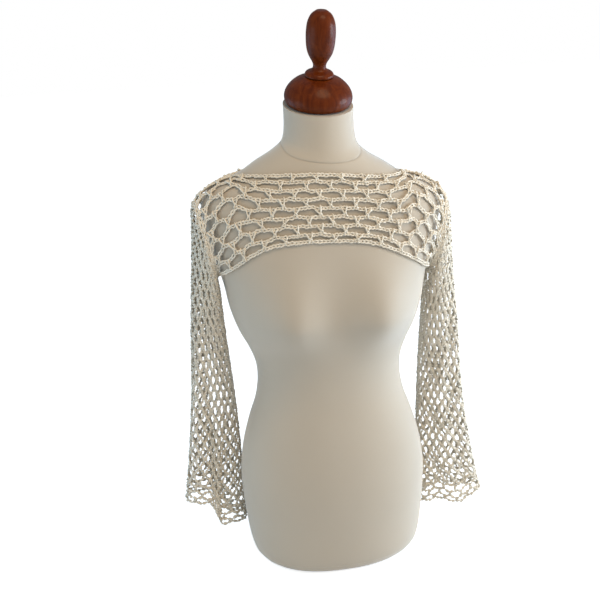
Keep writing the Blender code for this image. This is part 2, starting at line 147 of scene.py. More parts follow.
form = {
    "axis": Vector((-0.0101, 0.0016, 0.0)),   # where it stands in the frame
    "neckTop": 0.7575,
    "neckLean": math.radians(2.4),   # of the neck's top to the form's left
    "neckNod": math.radians(12.0),   # and forwards
    "nodLevels": (0.685, 0.745),     # over which it comes in
    "shoulderTip": 0.0095,    # how far one shoulder stands above the middle
    "tipSpread": 0.100,
    "tipLevels": (0.47, 0.62),       # over which the shoulders tip
    "leanLevels": (0.69, 0.73),      # and over which the tip turns into the neck's lean
    "bustX": 0.074,
    "bustZ": 0.445,
    "bustRise": 0.031,
    "bustWide": 0.052,
    "bustAbove": 0.070,
    "bustBelow": 0.046,
    "bustFade": 1.8,          # how soon it fades towards the form's sides
    "pointsRound": 168,
    "ringSpacing": 0.0048,
    "seamSide": 0.699,        # level of the neck seam at the sides
    "seamFront": 0.681,       # and at the front
    "seamDeep": 0.0009,       # how far the stitching draws the cover in there
    "seamBroad": 0.0009,
    "seamBack": 0.003,        # how far it rises behind
    "seamCurve": 1.3,         # and how it falls to the front
    "slantFrom": 0.660,       # levels between which the form's rings follow its slant
    "slantTo": (0.705, 0.735),
    "edgeSteps": (0.0002, 0.0007, 0.0018),    # extra rings above and below a seam or hem,
    "edgeClear": 0.0022,      # which keep the others away from it
    "hemHeight": 0.018,       # the cover's folded edge near the base
    "hemStep": 0.0012,
    "columns": ("z", "wide", "front", "back", "power"),
    "sections": [
        (0.000, 0.118, 0.090, 0.092, 2.3),
        (0.004, 0.128, 0.099, 0.101, 2.3),
        (0.014, 0.138, 0.107, 0.109, 2.3),
        (0.036, 0.145, 0.113, 0.115, 2.25),
        (0.075, 0.150, 0.116, 0.118, 2.2),
        (0.117, 0.1535, 0.118, 0.120, 2.2),
        (0.157, 0.154, 0.117, 0.120, 2.2),
        (0.202, 0.148, 0.110, 0.114, 2.2),
        (0.247, 0.136, 0.100, 0.102, 2.2),
        (0.287, 0.1225, 0.091, 0.089, 2.2),
        (0.322, 0.117, 0.087, 0.083, 2.2),
        (0.352, 0.119, 0.088, 0.083, 2.2),
        (0.382, 0.129, 0.092, 0.087, 2.2),
        (0.412, 0.143, 0.097, 0.092, 2.2),
        (0.447, 0.154, 0.101, 0.097, 2.2),
        (0.487, 0.161, 0.100, 0.100, 2.2),
        (0.522, 0.170, 0.097, 0.100, 2.2),
        (0.557, 0.180, 0.092, 0.098, 2.2),
        (0.587, 0.1860, 0.086, 0.092, 2.2),
        (0.603, 0.1870, 0.082, 0.088, 2.2),
        (0.616, 0.1845, 0.079, 0.084, 2.2),
        (0.627, 0.1785, 0.077, 0.081, 2.2),
        (0.635, 0.1685, 0.075, 0.078, 2.2),
        (0.642, 0.1555, 0.0725, 0.0755, 2.15),
        (0.648, 0.1395, 0.0705, 0.073, 2.1),
        (0.654, 0.1258, 0.0685, 0.0705, 2.1),
        (0.662, 0.1140, 0.066, 0.067, 2.05),
        (0.671, 0.1010, 0.0635, 0.064, 2.0),
        (0.680, 0.0850, 0.061, 0.061, 2.0),
        (0.688, 0.0725, 0.059, 0.059, 2.0),
        (0.696, 0.0625, 0.057, 0.057, 2.0),
        (0.704, 0.0570, 0.0552, 0.0552, 2.0),
        (0.716, 0.0542, 0.0537, 0.0537, 2.0),
        (0.732, 0.0530, 0.0528, 0.0528, 2.0),
        (0.7575, 0.0530, 0.0530, 0.0530, 2.0),
    ],
}


def smoothStep(low, high, x):
    t = min(1.0, max(0.0, (x - low) / (high - low)))
    return t * t * (3.0 - 2.0 * t)


def mix(a, b, t):
    return a + (b - a) * t


def readRows(rows, column, at):
    # a column at any place between rows that are sorted by their first number
    last = len(rows) - 1
    i = 0
    while i < last - 1 and rows[i + 1][0] < at:
        i += 1
    a, b = rows[i], rows[i + 1]
    before, after = rows[max(0, i - 1)], rows[min(last, i + 2)]
    span = b[0] - a[0]
    slopeA = (b[column] - before[column]) / (b[0] - before[0])
    slopeB = (after[column] - a[column]) / (after[0] - a[0])
    t = min(1.0, max(0.0, (at - a[0]) / span))
    return (
        a[column] * (2 * t**3 - 3 * t**2 + 1)
        + slopeA * span * (t**3 - 2 * t**2 + t)
        + b[column] * (3 * t**2 - 2 * t**3)
        + slopeB * span * (t**3 - t**2)
    )


@functools.lru_cache(maxsize=None)
def formSize(name, z):
    column = form["columns"].index(name)
    return readRows(form["sections"], column, min(form["neckTop"], max(0.0, z)))


def bustAt(x, z):
    tall = form["bustAbove"] if z > form["bustZ"] else form["bustBelow"]
    down = math.exp(-(((z - form["bustZ"]) / tall) ** 2))
    across = [math.exp(-(((x - s * form["bustX"]) / form["bustWide"]) ** 2)) for s in (-1, 1)]
    return form["bustRise"] * down * sum(across)


def tipAt(x, level):
    rise = form["shoulderTip"] * smoothStep(*form["tipLevels"], level)
    curved = -rise * x / math.hypot(x, form["tipSpread"])
    flat = -math.tan(form["neckLean"]) * x
    return mix(curved, flat, smoothStep(*form["leanLevels"], level))


def nodAt(y, level):
    return math.tan(form["neckNod"]) * y * smoothStep(*form["nodLevels"], level)


def formDepth(side, x, z):
    # how far the form's front or back lies from its middle plane, or None beside it
    level = z - tipAt(x, z)
    level = z - tipAt(x, level)
    share = abs(x) / formSize("wide", level)
    if share >= 1.0:
        return None
    power = formSize("power", level)
    profile = (1.0 - share**power) ** (1.0 / power)
    depth = formSize("front" if side < 0 else "back", level) * profile
    if side < 0:
        depth += bustAt(x, level) * min(1.0, form["bustFade"] * profile)
    return depth


@functools.lru_cache(maxsize=None)
def depthOverForm(side, x, z, out):
    # the depth at which a ball of radius out just touches the form
    best = 0.0
    for share in (0.0, 0.4, 0.75, 0.95):
        lift = out * math.sqrt(1.0 - share * share)
        for step in range(8 if share else 1):
            angle = 2.0 * math.pi * step / 8
            nearX = x + out * share * math.cos(angle)
            depth = formDepth(side, nearX, z + out * share * math.sin(angle))
            if depth is not None:
                best = max(best, depth + lift)
    return best


# The net: where each place of the cloth lies, by the same rules as its solids.
# u counts meshes from the centre, negative at -X; v goes from 0 at the neckline,
# shoulder and outside of a sleeve to 1 at the hem and the inside of a sleeve.

net = {
    "cloth": 0.0040,          # the wall's thickness
    "clear": 0.0013,          # and its distance from the form
    "underarmEase": 0.0015,   # how much looser it lies under the arms
    "underarmU": (3.5, 5.5),
    "underarmDown": (0.3, 0.9),
    "backEase": 0.0015,       # and behind
    "backEaseU": (2.0, 3.0),
    "formReach": 7.5,         # u up to which the form holds the cloth out
    "tubePower": 2.3,         # how square a sleeve's section is
    "joinPower": 5,           # how sharply cloth on the form turns into a sleeve
    "strand": 0.0066,
    "rows": 8,
    "yokeMeshes": 6,
    "yokeDeep": 0.107,
    "gridPerMesh": 12,        # how finely the cloth is measured out
    "gridDown": 32,
    "gridRound": 48,
    "gridAlong": 60,
    "waveCentre": 0.06,       # how far the chains zigzag between their posts, in rows
    "waveShoulder": 0.17,
    "waveLevels": (2.0, 5.0),     # u over which the zigzag grows
    "wobbles": ((0.0065, 4.3, 2.1), (0.00455, 9.7, -1.3)),  # size, waves by u and by row
    "edgeJoin": 0.60,         # where front and back meet, edge chains lie nearer to the edge
    "edgeJoinU": (2.4, 3.6),
    "endGap": 0.10,           # the last stitches' distance from the armhole, in meshes
    "stitchesPerMesh": 6,
    "endStitches": 20,
    "sink": {-1: 0.0008, 1: 0.0024},  # how far the yarn settles into the solid cloth's middle
    "sinkMore": 0.0014,       # and more on the shoulders, behind
    "sinkU": 4.4,
    "postStray": 0.07,        # how far a post stands off its place, in meshes
    # u, then x, y, z of the top line, x, y, z of the low line, half depth, drop behind
    "stations": [
        (-21, -0.2490, 0.030, 0.098, -0.1470, 0.064, 0.040, 0.031, 0.000),
        (-18, -0.2350, 0.027, 0.200, -0.1480, 0.062, 0.137, 0.029, 0.000),
        (-15, -0.2240, 0.022, 0.303, -0.1510, 0.054, 0.235, 0.028, 0.000),
        (-12, -0.2170, 0.016, 0.407, -0.1570, 0.042, 0.326, 0.029, 0.000),
        (-10, -0.2110, 0.011, 0.478, -0.1620, 0.030, 0.385, 0.032, 0.000),
        (-8, -0.2050, 0.006, 0.549, -0.1660, 0.017, 0.444, 0.038, 0.000),
        (-7, -0.2025, 0.004, 0.586, -0.1680, 0.010, 0.475, 0.042, 0.000),
        (-6, -0.1985, 0.002, 0.622, -0.1700, 0.003, 0.504, 0.043, 0.000),
        (-5, -0.1750, 0.001, 0.6455, -0.1525, 0.001, 0.5240, 0.036, 0.000),
        (-4, -0.1420, 0.000, 0.6590, -0.1310, 0.000, 0.5430, 0.020, 0.000),
        (-3, -0.1080, 0.000, 0.6658, -0.1030, 0.000, 0.5600, 0.004, 0.009),
        (-2, -0.0720, 0.000, 0.6685, -0.0710, 0.000, 0.5665, 0.000, 0.007),
        (-1, -0.0360, 0.000, 0.6690, -0.0360, 0.000, 0.5680, 0.000, 0.005),
        (0, 0.0000, 0.000, 0.6670, 0.0000, 0.000, 0.5660, 0.000, 0.004),
        (1, 0.0360, 0.000, 0.6625, 0.0360, 0.000, 0.5625, 0.000, 0.005),
        (2, 0.0720, 0.000, 0.6565, 0.0700, 0.000, 0.5540, 0.000, 0.007),
        (3, 0.1080, 0.000, 0.6515, 0.1030, 0.000, 0.5380, 0.004, 0.009),
        (4, 0.1410, 0.000, 0.6455, 0.1310, 0.000, 0.5200, 0.020, 0.000),
        (5, 0.1730, 0.001, 0.6315, 0.1530, 0.001, 0.5030, 0.036, 0.000),
        (6, 0.1970, 0.002, 0.607, 0.1710, 0.003, 0.486, 0.043, 0.000),
        (7, 0.2035, 0.004, 0.572, 0.1695, 0.009, 0.459, 0.042, 0.000),
        (8, 0.2070, 0.006, 0.536, 0.1680, 0.015, 0.431, 0.038, 0.000),
        (10, 0.2135, 0.010, 0.462, 0.1660, 0.027, 0.375, 0.032, 0.000),
        (12, 0.2220, 0.014, 0.388, 0.1645, 0.038, 0.314, 0.029, 0.000),
        (15, 0.2310, 0.020, 0.276, 0.1630, 0.049, 0.223, 0.028, 0.000),
        (18, 0.2470, 0.024, 0.164, 0.1640, 0.056, 0.128, 0.030, 0.000),
        (21, 0.2690, 0.026, 0.052, 0.1670, 0.058, 0.032, 0.035, 0.000),
    ],
    # each sleeve's soft troughs: place round it, depth, breadth, u where it starts and is full
    "folds": {
        -1: [
            (0.17, 0.0055, 0.050, 9.0, 14.0),
            (0.31, 0.0100, 0.040, 12.0, 19.0),
            (0.62, 0.0060, 0.050, 10.0, 15.0),
            (0.83, 0.0075, 0.045, 11.0, 17.0),
        ],
        1: [
            (0.14, 0.0065, 0.045, 8.0, 13.0),
            (0.34, 0.0070, 0.045, 10.0, 17.0),
            (0.66, 0.0080, 0.045, 12.0, 18.0),
            (0.87, 0.0050, 0.050, 9.0, 15.0),
        ],
    },
    "cuffU": 21,
    "cuffReach": 6.0,         # how far above a cuff its form begins
    "cuffStep": {-1: 1.0, 1: 0.0},    # the edge steps down halfway across one sleeve
    "cuffStepDown": (0.38, 0.62),
    "cuffWave": {-1: 0.004, 1: 0.005},
    "cuffWaves": 3.0,
}


@functools.lru_cache(maxsize=None)
def station(u):
    row = [readRows(net["stations"], column, u) for column in range(1, 9)]
    return Vector(row[0:3]), Vector(row[3:6]), row[6], row[7]


def foldDepth(hand, u, place):
    total = 0.0
    for middle, deep, broad, start, full in net["folds"][hand]:
        away = abs(place - middle)
        away = min(away, 1.0 - away)
        total += deep * smoothStep(start, full, abs(u)) * math.exp(-((away / broad) ** 2))
    return total


def sectionPoint(side, u, down):
    # the cloth's front or back at u, at a share down from its top line to its low line
    top, low, deep, behind = station(u)
    top = top.copy()
    if side > 0:
        top.z -= behind
    at = top.lerp(low, down)
    hand = -1 if u < 0 else 1
    nearCuff = smoothStep(net["cuffU"] - net["cuffReach"], net["cuffU"], abs(u))
    dropped = smoothStep(*net["cuffStepDown"], down)
    at.z += nearCuff * net["cuffStep"][hand] * (dropped - down) * (low.z - top.z)
    place = down / 2.0 if side < 0 else 1.0 - down / 2.0
    wave = math.sin(2.0 * math.pi * (net["cuffWaves"] * place + 0.15))
    at.z += nearCuff * net["cuffWave"][hand] * wave
    power = net["tubePower"]
    tube = deep * max(0.0, 1.0 - abs(2.0 * down - 1.0) ** power) ** (1.0 / power)
    onForm = 0.0
    if abs(u) < net["formReach"]:
        loose = net["underarmEase"] * smoothStep(*net["underarmU"], abs(u))
        loose *= smoothStep(*net["underarmDown"], down)
        if side > 0:
            loose = max(loose, net["backEase"] * smoothStep(*net["backEaseU"], abs(u)))
        out = net["clear"] + loose + net["cloth"] / 2.0
        onForm = depthOverForm(side, round(at.x, 6), round(at.z, 6), round(out, 6))
    power = net["joinPower"]
    at.y += side * (tube**power + onForm**power) ** (1.0 / power)
    return at


def evenSection(side, u, steps):
    # points down one section, evenly spaced along the cloth
    count = 48
    downs = [(1.0 - math.cos(math.pi * i / count)) / 2.0 for i in range(count + 1)]
    points = np.array([sectionPoint(side, u, down) for down in downs])
    lengths = np.concatenate([[0.0], np.cumsum(np.linalg.norm(np.diff(points, axis=0), axis=1))])
    wanted = np.linspace(0.0, lengths[-1], steps + 1)
    return np.stack([np.interp(wanted, lengths, points[:, k]) for k in range(3)], axis=1)


class Cloth:
    # a sheet of the cloth measured out on a grid, read at any place between its lines
    def __init__(self, us, vs, points, facing):
        self.us, self.vs, self.points = us, vs, points
        alongU = np.gradient(points, us, axis=0)
        alongV = np.gradient(points, vs, axis=1)
        out = np.cross(alongU, alongV) * facing
        self.out = out / np.maximum(np.linalg.norm(out, axis=2, keepdims=True), 1e-9)

    def read(self, table, u, v):
        i = np.clip(np.searchsorted(self.us, u) - 1, 0, len(self.us) - 2)
        j = np.clip(np.searchsorted(self.vs, v) - 1, 0, len(self.vs) - 2)
        a = (u - self.us[i]) / (self.us[i + 1] - self.us[i])
        b = (v - self.vs[j]) / (self.vs[j + 1] - self.vs[j])
        near = table[i, j] * (1 - b) + table[i, j + 1] * b
        far = table[i + 1, j] * (1 - b) + table[i + 1, j + 1] * b
        return near * (1 - a) + far * a

    def at(self, u, v):
        return self.read(self.points, u, v)

    def outAt(self, u, v):
        out = self.read(self.out, u, v)
        return out / max(np.linalg.norm(out), 1e-9)

    def area(self):
        a = self.points[1:, :-1] - self.points[:-1, :-1]
        b = self.points[:-1, 1:] - self.points[:-1, :-1]
        return float(np.linalg.norm(np.cross(a, b), axis=2).sum())


def yokeCloth(side):
    end, down = net["yokeMeshes"], net["gridDown"]
    us = np.linspace(-end, end, net["gridPerMesh"] * end + 1)
    vs = np.linspace(0.0, 1.0, down + 1)
    points = np.array([evenSection(side, u, down) for u in us]) + np.array(form["axis"])
    flat = Cloth(us, vs, points, side)
    more = net["sinkMore"] * np.exp(-((np.abs(us) - net["sinkU"]) ** 2)) * (side > 0)
    return Cloth(us, vs, points - flat.out * (net["sink"][side] + more)[:, None, None], side)


def sleeveCloth(hand):
    # v here goes once round the sleeve: outside, front, inside, back
    us = np.linspace(net["yokeMeshes"] + sleeveNet["seamGap"], net["cuffU"], net["gridAlong"] + 1)
    steps = net["gridRound"]
    rings = []
    for u in us:
        front = evenSection(-1, hand * u, steps)
        back = evenSection(1, hand * u, steps)
        rings.append(np.concatenate([front, back[-2::-1]]))
    vs = np.linspace(0.0, 1.0, 2 * steps + 1)
    points = np.array(rings) + np.array(form["axis"])
    flat = Cloth(us, vs, points, -hand)
    depths = np.array([[foldDepth(hand, u, v) for v in vs] for u in us])
    return Cloth(us, vs, points - flat.out * depths[:, :, None], -hand)


# Stitches as small closed pieces of yarn

yarn = {
    "thickness": 0.0024,
    "pitch": 0.0062,          # from one chain stitch to the next
    "chainLong": 0.72,        # half a loop's length, in pitches
    "chainWide": 0.0029,      # a loop's breadth at its head
    "chainLift": 0.0015,      # how much a loop arches over the one before
    "loopPoints": 12,
    "sides": 5,
    "cordWide": 0.0049,       # a chain that hangs drawn out closes up into a flat cord
    "cordThick": 0.0021,
    "cordGroove": 0.45,       # how deep its two strands are parted
    "cordRock": 0.95,         # how far it turns to either side within one stitch
    "cordRings": 5,
    "cordSides": 8,
    "postLong": 0.0125,
    "postFork": 0.0041,       # half the spread of a post's two legs at the top,
    "postWaist": 0.0013,      # where they cross
    "postFoot": 0.0030,       # and at the foot
    # a leg's points: place in half lengths and past that, spread, height, how far it crosses over
    "leg": [
        (-1.00, -0.0032, "postFork", 1.05, -0.0004, 0.0),
        (-1.00, -0.0010, "postFork", 1.00, 0.0026, 0.0),
        (-0.55, 0.0, "postFork", 0.66, 0.0024, 0.0),
        (-0.10, 0.0, "postWaist", 1.00, 0.0015, 0.0005),
        (0.45, 0.0, "postWaist", 0.80, 0.0012, -0.0005),
        (0.80, 0.0, "postFoot", 0.70, 0.0017, 0.0),
        (1.15, 0.0, "postFoot", 1.00, 0.0018, 0.0),
    ],
    "wrap": (0.0023, 0.0018),     # half its breadth and height
    "roll": math.radians(17), # most that a stitch turns about its own line
    "uneven": 0.12,           # most that a stitch's size differs
    "stray": 0.00035,         # how far stitches lie off their line
    "seed": 11,
}


def roundOutline(radius, sides):
    turns = [2.0 * math.pi * k / sides for k in range(sides)]
    return [(radius * math.cos(a), radius * math.sin(a)) for a in turns]


def yarnTube(shape, uvs, line, outlines, closed):
    # adds a tube through outlines along a line to a bmesh; uv runs along and round the yarn
    count, sides = len(line), len(outlines[0])
    rings, lengths = [], []
    along = 0.0
    for i, at in enumerate(line):
        ahead = line[(i + 1) % count] if closed or i < count - 1 else at
        behind = line[i - 1] if closed or i > 0 else at
        forward = (ahead - behind).normalized()
        side = forward.cross(Vector((0.0, 0.0, 1.0))).normalized()
        up = side.cross(forward)
        lengths.append(along)
        along += (line[(i + 1) % count] - at).length
        rings.append([shape.verts.new(at + side * a + up * b) for a, b in outlines[i]])
    lengths.append(along)
    for i in range(count if closed else count - 1):
        a, b = rings[i], rings[(i + 1) % count]
        for k in range(sides):
            m = (k + 1) % sides
            face = shape.faces.new((a[k], a[m], b[m], b[k]))
            face.smooth = True
            corners = ((i, k), (i, k + 1), (i + 1, k + 1), (i + 1, k))
            for loop, (alongStep, roundStep) in zip(face.loops, corners):
                loop[uvs].uv = (lengths[alongStep] * 100.0, roundStep / sides)
    if not closed:
        shape.faces.new(rings[0][::-1])
        shape.faces.new(rings[-1])


def stitchObject(name, tubes):
    shape = bmesh.new()
    uvs = shape.loops.layers.uv.new("yarn")
    for line, outlines, closed in tubes:
        yarnTube(shape, uvs, line, outlines, closed)
    bmesh.ops.recalc_face_normals(shape, faces=shape.faces)
    mesh = bpy.data.meshes.new(name)
    shape.to_mesh(mesh)
    shape.free()
    made = newObject(name, mesh)
    made.hide_render = True
    return made


def chainStitch():
    # a teardrop loop, its narrow tail below the loop before it and its wide head in front;
    # the yarn is full along the loop's sides and pinched at its two ends
    line, outlines = [], []
    for i in range(yarn["loopPoints"]):
        angle = 2.0 * math.pi * (i + 0.5) / yarn["loopPoints"]
        c, s = math.cos(angle), math.sin(angle)
        line.append(Vector((
            yarn["chainLong"] * yarn["pitch"] * c,
            yarn["chainWide"] * s * (0.60 + 0.46 * c),
            yarn["chainLift"] * (s * s - 0.45 + 0.34 * c),
        )))
        outlines.append(roundOutline(yarn["thickness"] / 2.0 * (0.68 + 0.46 * abs(s)), yarn["sides"]))
    return stitchObject("chainStitch", [(line, outlines, True)])


def cordStitch():
    # one stitch of a drawn-out chain: flat in section, rocking over and back, fuller at its middle
    line, outlines = [], []
    for i in range(yarn["cordRings"]):
        share = i / (yarn["cordRings"] - 1) - 0.5
        turn = yarn["cordRock"] * math.sin(2.0 * math.pi * share)
        full = 1.0 + 0.14 * math.cos(2.0 * math.pi * share)
        line.append(Vector((1.06 * share * yarn["pitch"], 0.0, 0.0)))
        ring = []
        cosine, sine = math.cos(turn), math.sin(turn)
        for a, b in roundOutline(full / 2.0, yarn["cordSides"]):
            parted = 1.0 - yarn["cordGroove"] * (2.0 * b / full) ** 4
            a, b = a * yarn["cordWide"], b * yarn["cordThick"] * parted
            ring.append((a * cosine - b * sine, a * sine + b * cosine))
        outlines.append(ring)
    return stitchObject("cordStitch", [(line, outlines, False)])


def postStitch():
    # two legs hooked over the chain above, crossed at their waist and spread at the foot,
    # with the yarn wrapped once round them
    half = yarn["postLong"] / 2.0
    outline = roundOutline(yarn["thickness"] * 0.58, 4)
    tubes = []
    for hand in (-1, 1):
        leg = [Vector((half * share + past, hand * yarn[part] * spread, up + hand * over))
               for share, past, part, spread, up, over in yarn["leg"]]
        tubes.append((leg, [outline] * len(leg), False))
    wide, high = yarn["wrap"]
    wrap = [Vector((half * (0.10 + 0.30 * s), wide * s, 0.0008 + high * c))
            for c, s in roundOutline(1.0, 6)]
    tubes.append((wrap, [outline] * len(wrap), True))
    return stitchObject("postStitch", tubes)


def stitchTree():
    # sets a chain or a post stitch on every point, turned along the yarn and off the cloth
    tree = bpy.data.node_groups.new("stitchesOnNet", "GeometryNodeTree")
    desk = Desk(tree)
    tree.interface.new_socket("Net", in_out="INPUT", socket_type="NodeSocketGeometry")
    for name, kind in (("Chain stitch", "Object"), ("Post stitch", "Object"),
                       ("Yarn", "Material"), ("Roll", "Float"), ("Uneven", "Float"), ("Seed", "Int")):
        tree.interface.new_socket(name, in_out="INPUT", socket_type="NodeSocket" + kind)
    tree.interface.new_socket("Net", in_out="OUTPUT", socket_type="NodeSocketGeometry")
    source = tree.nodes.new("NodeGroupInput")
    given = {socket.name: Wire(desk, socket) for socket in source.outputs if socket.name}

    def attribute(name, kind="FLOAT_VECTOR"):
        return desk.add("GeometryNodeInputNamedAttribute", {"data_type": kind}, {"Name": name}, "Attribute")

    def chance(low, high, offset):
        values = {"Min_001": low, "Max_001": high, "Seed": given["Seed"] + offset}
        return desk.add("FunctionNodeRandomValue", {"data_type": "FLOAT"}, values, "Value_001")

    turned = desk.add("FunctionNodeAlignRotationToVector", {"axis": "X"}, {"Vector": attribute("along")})
    turned = desk.add("FunctionNodeAlignRotationToVector", {"axis": "Z", "pivot_axis": "X"},
                      {"Rotation": turned, "Vector": attribute("outward")})
    rolled = desk.add("FunctionNodeAxisAngleToRotation", {},
                      {"Axis": (1.0, 0.0, 0.0), "Angle": chance(given["Roll"] * -1.0, given["Roll"], 1)})
    turned = desk.add("FunctionNodeRotateRotation", {"rotation_space": "LOCAL"},
                      {"Rotation": turned, "Rotate By": rolled})
    grown = chance(1.0 - given["Uneven"], 1.0 + given["Uneven"], 2)
    size = desk.add("ShaderNodeVectorMath", {"operation": "SCALE"},
                    {"Vector": attribute("size"), "Scale": grown})
    isPost = attribute("isPost", "FLOAT")
    placed = []
    for name, chosen in (("Chain stitch", 1.0 - isPost), ("Post stitch", isPost)):
        stitch = desk.add("GeometryNodeObjectInfo", {}, {"Object": given[name]}, "Geometry")
        values = {"Points": given["Net"], "Selection": chosen, "Instance": stitch,
                  "Rotation": turned, "Scale": size}
        placed.append(desk.add("GeometryNodeInstanceOnPoints", {}, values))
    joined = tree.nodes.new("GeometryNodeJoinGeometry")
    for stitches in placed:
        tree.links.new(stitches.socket, joined.inputs[0])
    real = desk.add("GeometryNodeRealizeInstances", {}, {"Geometry": Wire(desk, joined.outputs[0])})
    dyed = desk.add("GeometryNodeSetMaterial", {}, {"Geometry": real, "Material": given["Yarn"]})
    result = tree.nodes.new("NodeGroupOutput")
    tree.links.new(dyed.socket, result.inputs[0])
    return tree


class Crochet:
    # gathers the places of stitches, then works them into one piece
    def __init__(self, name, seed):
        self.name = name
        self.seed = seed
        self.chance = np.random.default_rng(seed)
        self.rows = []

    def chain(self, points, outs, wide=1.0, thick=1.0, turn=1):
        # stitches along a line of points, each centred between two of them
        points, outs = np.array(points), np.array(outs)
        middles = (points[1:] + points[:-1]) / 2.0
        steps = (points[1:] - points[:-1]) * turn
        longs = np.linalg.norm(steps, axis=1)
        facing = (outs[1:] + outs[:-1]) / 2.0
        across = np.cross(facing, steps)
        across /= np.maximum(np.linalg.norm(across, axis=1, keepdims=True), 1e-9)
        middles += across * self.chance.normal(0.0, yarn["stray"], (len(middles), 1))
        middles += facing * self.chance.normal(0.0, yarn["stray"] * 0.6, (len(middles), 1))
        for at, step, long, out in zip(middles, steps, longs, facing):
            self.rows.append((at, step, out, (long / yarn["pitch"], wide, thick), 0.0))

    def post(self, upper, lower, out, reach, wide=1.0, thick=1.0):
        step = np.array(lower) - np.array(upper)
        long = max(float(np.linalg.norm(step)) + reach, 0.002)
        at = (np.array(upper) + np.array(lower)) / 2.0
        self.rows.append((at, step, out, (long / yarn["postLong"], wide, thick), 1.0))

    def work(self, tree, stitches, material):
        mesh = bpy.data.meshes.new(self.name)
        mesh.from_pydata([tuple(row[0]) for row in self.rows], [], [])
        for name, column in (("along", 1), ("outward", 2), ("size", 3)):
            data = mesh.attributes.new(name, "FLOAT_VECTOR", "POINT").data
            data.foreach_set("vector", np.array([row[column] for row in self.rows], np.float32).ravel())
        data = mesh.attributes.new("isPost", "FLOAT", "POINT").data
        data.foreach_set("value", np.array([row[4] for row in self.rows], np.float32))
        made = newObject(self.name, mesh)
        modifier = made.modifiers.new("stitches", "NODES")
        modifier.node_group = tree
        inputs = {item.name: item.identifier for item in tree.interface.items_tree
                  if item.item_type == "SOCKET" and item.in_out == "INPUT"}
        modifier[inputs["Chain stitch"]] = stitches[0]
        modifier[inputs["Post stitch"]] = stitches[1]
        modifier[inputs["Yarn"]] = material
        modifier[inputs["Roll"]] = yarn["roll"]
        modifier[inputs["Uneven"]] = yarn["uneven"]
        modifier[inputs["Seed"]] = self.seed
        bpy.context.view_layer.update()
        shown = made.evaluated_get(bpy.context.evaluated_depsgraph_get())
        plain = bpy.data.meshes.new_from_object(shown, preserve_all_data_layers=True,
                                                depsgraph=bpy.context.evaluated_depsgraph_get())
        made.modifiers.remove(modifier)
        made.data = plain
        plain.name = self.name
        triangles = sum(len(face.vertices) - 2 for face in plain.polygons)
        print(self.name, "stitches", len(self.rows), "triangles", triangles)
        return made


# The yoke's open net, worked along its rows

def rowPlace(u, row, inset):
    # v of a chain at u, with its zigzag between the posts; edge chains lie inside the edge
    if row == 0:
        return inset
    if row == net["rows"]:
        return 1.0 - inset
    halves = math.floor(2.0 * u)
    places = []
    for half in (halves, halves + 1):
        grown = smoothStep(*net["waveLevels"], abs(half / 2.0))
        wave = mix(net["waveCentre"], net["waveShoulder"], grown)
        postBelow = (half + row) % 2 == 1
        places.append((row + (wave if postBelow else -wave)) / net["rows"])
    v = mix(places[0], places[1], 2.0 * u - halves)
    # no row lies quite straight
    return v + sum(size * math.sin(byU * u + byRow * row) for size, byU, byRow in net["wobbles"])


def workYoke(name, node, side, tools):
    cloth = yokeCloth(side)
    piece = Crochet(name, yarn["seed"] + side)
    end = net["yokeMeshes"] - net["endGap"]
    inset = 0.5 * net["strand"] / net["yokeDeep"]

    def placeOf(u, row):
        # the edge chains of front and back close up along the shoulders and under the arms
        closing = mix(1.0, net["edgeJoin"], smoothStep(*net["edgeJoinU"], abs(u)))
        return rowPlace(u, row, inset * closing)

    def line(us, row):
        vs = [placeOf(u, row) for u in us]
        return [cloth.at(u, v) for u, v in zip(us, vs)], [cloth.outAt(u, v) for u, v in zip(us, vs)]

    for row in range(net["rows"] + 1):
        us = np.linspace(-end, end, 2 * net["yokeMeshes"] * net["stitchesPerMesh"] + 1)
        points, outs = line(us, row)
        piece.chain(points, outs, turn=1 if row % 2 else -1)
    for hand in (-1, 1):
        vs = np.linspace(0.01, 0.99, net["endStitches"] + 1)
        piece.chain([cloth.at(hand * end, v) for v in vs], [cloth.outAt(hand * end, v) for v in vs])
    for row in range(net["rows"]):
        shift = 0.5 if row % 2 == 0 else 0.0
        for k in range(-net["yokeMeshes"], net["yokeMeshes"] + 1):
            u = k + shift
            if abs(u) > net["yokeMeshes"] - 0.4:
                continue
            top, foot = u + net["postStray"] * piece.chance.uniform(-1.0, 1.0, 2)
            upper = cloth.at(top, placeOf(u, row))
            lower = cloth.at(foot, placeOf(u, row + 1))
            out = cloth.outAt(u, (row + 0.5) / net["rows"])
            piece.post(upper, lower, out, 0.0)
    made = piece.work(*tools)
    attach(made, "root")
    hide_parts(node)
    return made, cloth.area()


# The sleeves' finer net: rows run down the arm, drawn out long by their own weight

